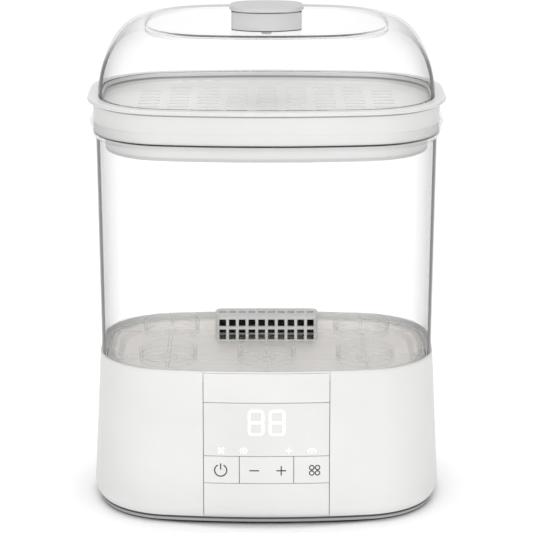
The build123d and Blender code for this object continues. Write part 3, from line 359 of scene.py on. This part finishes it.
def turns_round():
    """Angles of the outward normal round an oval, closest where the long arcs lie."""
    quarter = spaced(0, 12, 0.8) + spaced(12, 66, 2.25) + spaced(66, 90, 0.5)
    half = quarter + [90.0] + [180 - a for a in reversed(quarter[1:])]
    return half + [180 + a for a in half]


TURNS = turns_round()


def oval_ring(arcs, inset, z):
    """The oval's points at height z, one for each angle in TURNS."""
    ring = []
    for turn in TURNS:
        signed = turn - 360 if turn > 360 + arcs[0][3] else turn
        x, y, r = next((x, y, r) for x, y, r, start, end in arcs if start - 1e-9 <= signed <= end + 1e-9)
        ring.append((x + (r - inset) * cos(radians(turn)), y + (r - inset) * sin(radians(turn)), z))
    return ring


MASTER = oval_arcs(HALF_WIDTH, HALF_DEPTH, *MASTER_RADII)
CREST = oval_arcs(*CREST_SIZE, *CREST_RADII)


def rounded(points, radii, tags, steps=5):
    """A closed section's corners rounded: (points, tag of the edge that starts at each)."""
    made, made_tags = [], []
    count = len(points)
    for i, (point, radius) in enumerate(zip(points, radii)):
        before, here, after = Vector(points[i - 1]), Vector(point), Vector(points[(i + 1) % count])
        if radius == 0:
            made.append(tuple(here))
            made_tags.append(tags[i])
            continue
        back = (before - here).normalized()
        ahead = (after - here).normalized()
        half = back.angle(ahead) / 2
        reach = radius / tan(half)
        centre = here + (back + ahead).normalized() * (radius / sin(half))
        start = here + back * reach - centre
        end = here + ahead * reach - centre
        for k in range(steps + 1):
            spoke = start.slerp(end, k / steps, start)
            made.append(tuple(centre + spoke))
            made_tags.append(tags[i - 1] if k < steps / 2 else tags[i])
    return made, made_tags


def add_mesh(name, points, faces, body, materials, tags=None, sharp=32.0):
    """A piece from points in millimetres, smooth except over sharp corners, that rides on a body."""
    mesh = bpy.data.meshes.new(name)
    mesh.from_pydata([(x * MM, y * MM, z * MM) for x, y, z in points], [], faces)
    for made in materials:
        mesh.materials.append(made)
    if tags:
        mesh.polygons.foreach_set("material_index", tags)
    mesh.validate()
    mesh.shade_smooth()
    mesh.set_sharp_from_angle(angle=radians(sharp))
    obj = bpy.data.objects.new(name, mesh)
    scene.collection.objects.link(obj)
    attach(obj, body)
    return obj


def from_rings(name, rings, ring_tags, body, materials, closed=True):
    """A piece from rings of equal length, joined in order; ring_tags gives each band's material."""
    size = len(rings[0])
    points = [point for ring in rings for point in ring]
    faces, tags = [], []
    bands = len(rings) if closed else len(rings) - 1
    for i in range(bands):
        here, there = i * size, (i + 1) % len(rings) * size
        for j in range(size):
            k = (j + 1) % size
            faces.append((here + j, here + k, there + k, there + j))
            tags.append(ring_tags[i])
    return add_mesh(name, points, faces, body, materials, tags)


def swept(name, points, radii, tags, body, materials):
    """A section of (inset, height) points carried round the master oval."""
    section, section_tags = rounded(points, radii, tags)
    rings = [oval_ring(MASTER, inset, z) for inset, z in section]
    return from_rings(name, rings, section_tags, body, materials)


# ---------------------------------------------------------------- clear chamber
# Heights of its foot, its top and the shelf that its collar stands on, then its insets from the master oval.
SEAT, CHAMBER_TOP, SHELF = 122.0, 313.0, 303.5
SHELF_THICK, SEAT_FILLET = 3.4, 0.3
FOOT_OUT, FOOT_IN = 9.0, 11.2
SHELF_OUT, SHELF_IN = 6.3, 8.4
COLLAR_OUT, COLLAR_TOP_OUT, COLLAR_TOP_IN = 2.9, 2.6, 4.6
COLLAR_IN, LINE_IN, LINE_HEIGHT = 5.2, 5.12, 1.3  # the collar's inside, with a dark line at its foot
OUT, IN, FLAT, EDGE, RIM, END, TOP, FOOT = range(8)
CHAMBER_CLEARS = [CHAMBER_OUT, CHAMBER_IN, CLEAR_FLAT, SHELF_LINE, CLEAR_RIM, WALL_END]
LID_CLEARS = [LID_OUT, LID_IN, CLEAR_FLAT, CLEAR_FLAT, CLEAR_RIM, WALL_END, CREST_RIM, CREST_FOOT]
chamber = swept(
    "chamber_wall",
    [(FOOT_OUT, SEAT), (SHELF_OUT, SHELF - SHELF_THICK), (COLLAR_OUT, SHELF - SHELF_THICK),
     (COLLAR_TOP_OUT, CHAMBER_TOP), (COLLAR_TOP_IN, CHAMBER_TOP), (LINE_IN, SHELF + LINE_HEIGHT),
     (COLLAR_IN, SHELF), (SHELF_IN, SHELF), (FOOT_IN, SEAT)],
    [SEAT_FILLET, 0.6, 2.6, 0.7, 0.7, 0, 0, 0.8, SEAT_FILLET],
    [OUT, RIM, IN, RIM, IN, EDGE, EDGE, IN, END],
    "chamber", CHAMBER_CLEARS,
)
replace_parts(chamber, "chamber")


# ---------------------------------------------------------------- lid
LID_BASE, LID_INSET, LID_HEIGHT, CLEAR_WALL = 331.2, 9.0, 56.0, 2.2
LID_TOP = LID_BASE + LID_HEIGHT
RECESS_EDGE, RECESS_FLOOR = LID_TOP - 3.2, LID_TOP - 6.6
LIP_INSET, LIP_RADIUS, FOOT_RADIUS = 1.9, 0.7, 0.8
RECESS_MIDDLE = (34.0, 28.0, 90.0, 80.0, 20.0)
SCREW_HOLE = 2.6


def dome_ring(turn, inwards):
    """One ring of the dome's quarter-ellipse profile; turn runs from 0 to 90 degrees."""
    share = cos(radians(turn))
    base = [r - LID_INSET for r in MASTER_RADII]
    radii = [crest + share * (low - crest) for low, crest in zip(base, CREST_RADII)]
    width = CREST_SIZE[0] + share * (HALF_WIDTH - LID_INSET - CREST_SIZE[0] - inwards)
    depth = CREST_SIZE[1] + share * (HALF_DEPTH - LID_INSET - CREST_SIZE[1] - inwards)
    height = LID_BASE + (LID_HEIGHT - inwards) * sin(radians(turn))
    return oval_ring(oval_arcs(width, depth, *radii), 0.0, height)


def circle_ring(radius, z):
    """A round ring with one point for each angle in TURNS."""
    return [(radius * cos(radians(a)), radius * sin(radians(a)), z) for a in TURNS]


def build_lid():
    """The lid's shell: up the outside, over the crest's lip, into the recess and back along the inside."""
    rings, tags = [], []

    def add(tag, *more):
        rings.extend(more)
        tags.extend([tag] * len(more))

    profile = [90 * (1 - (1 - i / 24) ** 1.25) for i in range(25)]
    add(OUT, *[dome_ring(t, 0.0) for t in profile[:-1]])
    add(TOP, dome_ring(90, 0.0), oval_ring(CREST, 0.8, LID_TOP))
    for k in range(5):
        turn = radians(90 * k / 4)
        inset = LIP_INSET + LIP_RADIUS * sin(turn)
        add(TOP, oval_ring(CREST, inset, LID_TOP - LIP_RADIUS + LIP_RADIUS * cos(turn)))
    add(FLAT, oval_ring(CREST, LIP_INSET + LIP_RADIUS, LID_TOP - 1.7))
    for k in range(5):
        turn = radians(80 * k / 4)
        inset = LIP_INSET + LIP_RADIUS + FOOT_RADIUS * (1 - cos(turn))
        add(FOOT, oval_ring(CREST, inset, RECESS_EDGE + FOOT_RADIUS * (1 - sin(turn))))
    tags[-1] = FLAT
    middle = oval_arcs(*RECESS_MIDDLE)
    under, below = RECESS_FLOOR - CLEAR_WALL, RECESS_EDGE - CLEAR_WALL
    add(FLAT, oval_ring(middle, 0, RECESS_FLOOR), circle_ring(SCREW_HOLE, RECESS_FLOOR))
    add(FLAT, circle_ring(SCREW_HOLE, under), oval_ring(middle, 0, under))
    add(RIM, oval_ring(CREST, 1.0, below), oval_ring(CREST, 0.4, below + 0.6))
    add(IN, oval_ring(CREST, 0.4, LID_TOP - CLEAR_WALL))
    add(IN, *[dome_ring(t, CLEAR_WALL) for t in reversed(profile[:-1])])
    tags[-1] = END
    return from_rings("lid_shell", rings, tags, "lid", LID_CLEARS)


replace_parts(build_lid(), "lid_dome")


# ---------------------------------------------------------------- outlet hood's inside, darkened by a black sheet as painted shade
def plate_box(points, faces, x0, x1, y0, y1, z0, z1):
    """Adds a box's corners and faces to a piece."""
    at = len(points)
    points += [(x, y, z) for x in (x0, x1) for y in (y0, y1) for z in (z0, z1)]
    faces += [tuple(at + i for i in face) for face in
              ((0, 1, 3, 2), (4, 6, 7, 5), (0, 4, 5, 1), (2, 3, 7, 6), (0, 2, 6, 4), (1, 5, 7, 3))]


# A black sheet just inside the outlet hood's walls and top: painted shade where its inside is dark for want
# of light.
SHADE_SHEET_HALF, SHADE_SHEET_WALL = 39.7, 0.4
SHADE_SHEET_FRONT, SHADE_SHEET_BACK = 33.0, 51.7
SHADE_SHEET_FOOT, SHADE_SHEET_TOP = 116.6, 135.3
points, faces = [], []
for x0, x1, y0, z0 in (
    (-SHADE_SHEET_HALF, SHADE_SHEET_HALF, SHADE_SHEET_BACK - SHADE_SHEET_WALL, SHADE_SHEET_FOOT),
    (-SHADE_SHEET_HALF, SHADE_SHEET_HALF, SHADE_SHEET_FRONT, SHADE_SHEET_TOP - SHADE_SHEET_WALL),
    (-SHADE_SHEET_HALF, SHADE_SHEET_WALL - SHADE_SHEET_HALF, SHADE_SHEET_FRONT, SHADE_SHEET_FOOT),
    (SHADE_SHEET_HALF - SHADE_SHEET_WALL, SHADE_SHEET_HALF, SHADE_SHEET_FRONT, SHADE_SHEET_FOOT),
):
    plate_box(points, faces, x0, x1, y0, SHADE_SHEET_BACK, z0, SHADE_SHEET_TOP)
add_mesh("hood_shade_sheet", points, faces, "base", [DUCT])


# ---------------------------------------------------------------- printed marks on the front panel
# The housing's height and its inset from the master oval, at its widest and at its rim.
HOUSING_WIDEST, WIDEST_INSET = 18.0, 1.4
RIM_TOP, RIM_INSET = 126.0, 7.2
LEAN = (RIM_INSET - WIDEST_INSET) / (RIM_TOP - HOUSING_WIDEST)
LONG_RADIUS = MASTER_RADII[0]


def front_surface(x, z):
    """Y of the front wall."""
    inset = WIDEST_INSET + (z - HOUSING_WIDEST) * LEAN
    return LONG_RADIUS - HALF_DEPTH - sqrt((LONG_RADIUS - inset) ** 2 - x * x)


def stroke(path, width, closed=False):
    """A line of even width with round ends, as convex outlines in (x, z)."""
    outlines = []
    half = width / 2
    path = [Vector(p) for p in path]
    ahead = path[1:] + path[:1] if closed else path[1:]
    for a, b in zip(path, ahead):
        side = (b - a).normalized()
        side = Vector((-side.y, side.x)) * half
        outlines.append([a + side, a - side, b - side, b + side])
    for p in path:
        outlines.append(disc(p, half))
    return outlines


def disc(centre, radius, count=14):
    """A round outline."""
    turns = [2 * pi * k / count for k in range(count)]
    return [Vector((centre[0] + radius * cos(turn), centre[1] + radius * sin(turn))) for turn in turns]


def arc(centre, radius, start, end, count=28):
    """Points along an arc, angles in degrees."""
    turns = [radians(start + (end - start) * k / count) for k in range(count + 1)]
    return [(centre[0] + radius * cos(turn), centre[1] + radius * sin(turn)) for turn in turns]


def round_loop(x0, x1, z0, z1, radii):
    """A rectangle's outline with a radius for each corner, from the lower left one round."""
    r = radii
    path = arc((x0 + r[0], z0 + r[0]), r[0], 180, 270, 6) + arc((x1 - r[1], z0 + r[1]), r[1], 270, 360, 6)
    return path + arc((x1 - r[2], z1 - r[2]), r[2], 0, 90, 6) + arc((x0 + r[3], z1 - r[3]), r[3], 90, 180, 6)


PROUD, SUNK = 0.05, 0.04


def printed(name, outlines, body, finish):
    """Marks on the front wall: each outline as a thin plate just proud of it."""
    points, faces = [], []
    for outline in outlines:
        at, n = len(points), len(outline)
        for depth in (-PROUD, SUNK):
            points += [(p[0], front_surface(p[0], p[1]) + depth, p[1]) for p in outline]
        faces.append(tuple(range(at, at + n)))
        faces.append(tuple(reversed(range(at + n, at + 2 * n))))
        faces += [(at + k, at + n + k, at + n + (k + 1) % n, at + (k + 1) % n) for k in range(n)]
    return add_mesh(name, points, faces, body, [finish])


DIGIT_XS = (-8.15, 8.2)
DIGIT_HALF, SEGMENT = 5.35, 2.0
DIGIT_FOOT, DIGIT_MIDDLE, DIGIT_TOP = 75.8, 85.25, 94.7
WAIST, CORNER = 1.4, 2.3  # the loops' corner radii at the digit's middle and at its ends


def digit(x):
    """An eight of light segments, centred on x."""
    left, right = x - DIGIT_HALF, x + DIGIT_HALF
    upper = round_loop(left, right, DIGIT_MIDDLE, DIGIT_TOP, (WAIST, WAIST, CORNER, CORNER))
    lower = round_loop(left, right, DIGIT_FOOT, DIGIT_MIDDLE, (CORNER, CORNER, WAIST, WAIST))
    return stroke(upper, SEGMENT, True) + stroke(lower, SEGMENT, True)


printed("display_digits", digit(DIGIT_XS[0]) + digit(DIGIT_XS[1]), "base", GLOW)

KEY_Z = 46.5
POWER_X, MINUS_X, PLUS_X, MODE_X = -35.8, -9.6, 11.5, 37.6
INK_WIDTH, SIGN_HALF = 0.95, 3.4
power = stroke(arc((POWER_X, KEY_Z), 4.75, 122, 418), INK_WIDTH)
power += stroke([(POWER_X, KEY_Z + 0.9), (POWER_X, KEY_Z + 5.3)], INK_WIDTH)
printed("power_mark", power, "power_key", INK)
steps = []
for x in (MINUS_X, PLUS_X):
    steps += stroke([(x - SIGN_HALF, KEY_Z), (x + SIGN_HALF, KEY_Z)], INK_WIDTH)
steps += stroke([(PLUS_X, KEY_Z - SIGN_HALF), (PLUS_X, KEY_Z + SIGN_HALF)], INK_WIDTH)
printed("timer_marks", steps, "timer_rocker", INK)
rings = []
for x in (MODE_X - 2.25, MODE_X + 2.25):
    for z in (KEY_Z - 2.2, KEY_Z + 2.2):
        rings += stroke(arc((x, z), 1.75, 0, 360, 20), 0.85)
printed("mode_mark", rings, "mode_key", INK)


def star(x, z, outer, inner, count):
    """A star as triangles and its middle."""
    turn = 2 * pi / count
    tips = [(x + outer * sin(turn * k), z + outer * cos(turn * k)) for k in range(count)]
    dips = [(x + inner * sin(turn * (k + 0.5)), z + inner * cos(turn * (k + 0.5))) for k in range(count)]
    return [dips] + [[dips[k - 1], tips[k], dips[k]] for k in range(count)]


LAMP_Z = 62.6
FAN_X, DROPS_X, STAR_X, DOME_X = -35.4, -17.9, 17.5, 35.4
icons = []
for turn in range(45, 405, 90):
    tip = (FAN_X + 2.3 * cos(radians(turn)), LAMP_Z + 2.3 * sin(radians(turn)))
    icons += stroke([(FAN_X, LAMP_Z), tip], 0.9) + [disc(tip, 0.85)]
for turn in range(0, 360, 45):
    spot = (DROPS_X + 2.6 * cos(radians(turn)), LAMP_Z + 2.2 * sin(radians(turn)))
    icons.append(disc(spot, 0.55))
icons.append(disc((DROPS_X, LAMP_Z), 1.1))
icons += star(STAR_X, LAMP_Z, 3.3, 0.95, 4)
icons += stroke(arc((DOME_X, LAMP_Z - 2.2), 3.7, 25, 155, 12), 0.8)
icons += stroke([(DOME_X, LAMP_Z - 1.8), (DOME_X, LAMP_Z)], 0.9)
icons += [disc((DOME_X + side * 2.1, LAMP_Z - 1.6), 0.6) for side in (1, -1)]
printed("mode_icons", icons, "base", GLOW)


# ---------------------------------------------------------------- floor, light, camera
# The floor's glow by the distance from the object in metres, partly painted light that lifts the shadow
# beside the object, and the world's tone by how far sideways it is.
FLOOR_GLOW = [(0.137, 0.0), (0.144, 0.2), (0.25, 0.4)]
WORLD_TONE = [(0.25, 1.0), (0.65, 0.5), (0.97, 0.1)]


def floor_finish():
    """Matt white that glows a little away from the object, so that it stays white across the picture; close
    by the object the glow is painted light that lifts its shadow.
    """
    made, tree = new_material("floor_white")
    out = add_node(tree, "OutputMaterial")
    bsdf = add_node(tree, "BsdfPrincipled", Roughness=0.9)
    bsdf.inputs["Specular IOR Level"].default_value = 0.0
    matt = ramp(tree, noise(tree, 3.0), grey_stops([(0.3, 0.92), (0.7, 0.93)]))
    link(tree, matt, bsdf.inputs["Base Color"])
    place = add_node(tree, "TexCoord")
    squash = add_node(tree, "Mapping")
    squash.inputs["Scale"].default_value = (1.0, 1.5, 0.0)
    link(tree, place.outputs["Object"], squash.inputs["Vector"])
    reach = add_node(tree, "VectorMath", operation="LENGTH")
    link(tree, squash.outputs["Vector"], reach.inputs[0])
    glow = ramp(tree, reach.outputs["Value"], grey_stops(FLOOR_GLOW))
    link(tree, glow, bsdf.inputs["Emission Color"])
    bsdf.inputs["Emission Strength"].default_value = 1.0
    link(tree, bsdf.outputs["BSDF"], out.inputs["Surface"])
    return made


floor_mesh = bpy.data.meshes.new("floor")
floor_mesh.from_pydata([(-8, -9, 0), (8, -9, 0), (8, 14, 0), (-8, 14, 0)], [], [(0, 1, 2, 3)])
floor = bpy.data.objects.new("floor", floor_mesh)
scene.collection.objects.link(floor)
floor_mesh.materials.append(floor_finish())

world = bpy.data.worlds.new("studio")
world.use_nodes = True
scene.world = world
tree = world.node_tree
tree.nodes.clear()
out = add_node(tree, "OutputWorld")
back = add_node(tree, "Background", Strength=0.9)
direction = add_node(tree, "TexCoord")
split = add_node(tree, "SeparateXYZ")
link(tree, direction.outputs["Generated"], split.inputs["Vector"])
sideways = add_node(tree, "Math", operation="ABSOLUTE")
link(tree, split.outputs["X"], sideways.inputs[0])
tone = ramp(tree, sideways.outputs["Value"], grey_stops(WORLD_TONE))
link(tree, tone, back.inputs["Color"])
link(tree, back.outputs["Background"], out.inputs["Surface"])


def soft_light(name, place, aim, width, height, power):
    """A rectangular studio light pointed at a place."""
    data = bpy.data.lights.new(name, "AREA")
    data.shape = "RECTANGLE"
    data.size = width
    data.size_y = height
    data.energy = power
    lamp = bpy.data.objects.new(name, data)
    scene.collection.objects.link(lamp)
    lamp.location = place
    lamp.rotation_euler = (Vector(aim) - Vector(place)).to_track_quat("-Z", "Y").to_euler()


soft_light("key", (-0.5, -2.4, 1.3), (0, 0, 0.15), 1.6, 1.2, 10)
soft_light("fill", (0.6, -2.4, 1.1), (0, 0, 0.15), 1.6, 1.2, 8)
soft_light("top", (0, 0.2, 2.8), (0, 0, 0.2), 2.0, 1.6, 10)

CAMERA_PLACE = (0, -1.8, 0.676)
CAMERA_TILT, CAMERA_LENS = 74.82, 157.1
camera_data = bpy.data.cameras.new("camera")
camera_data.lens = CAMERA_LENS
camera_data.sensor_width = 36.0
camera_data.dof.use_dof = False
camera = bpy.data.objects.new("camera", camera_data)
scene.collection.objects.link(camera)
camera.location = CAMERA_PLACE
camera.rotation_euler = (radians(CAMERA_TILT), 0, 0)
scene.camera = camera
scene.view_settings.view_transform = "Standard"
scene.cycles.transparent_max_bounces = 32  # enough for the chamber, the rack and the lid, one behind another
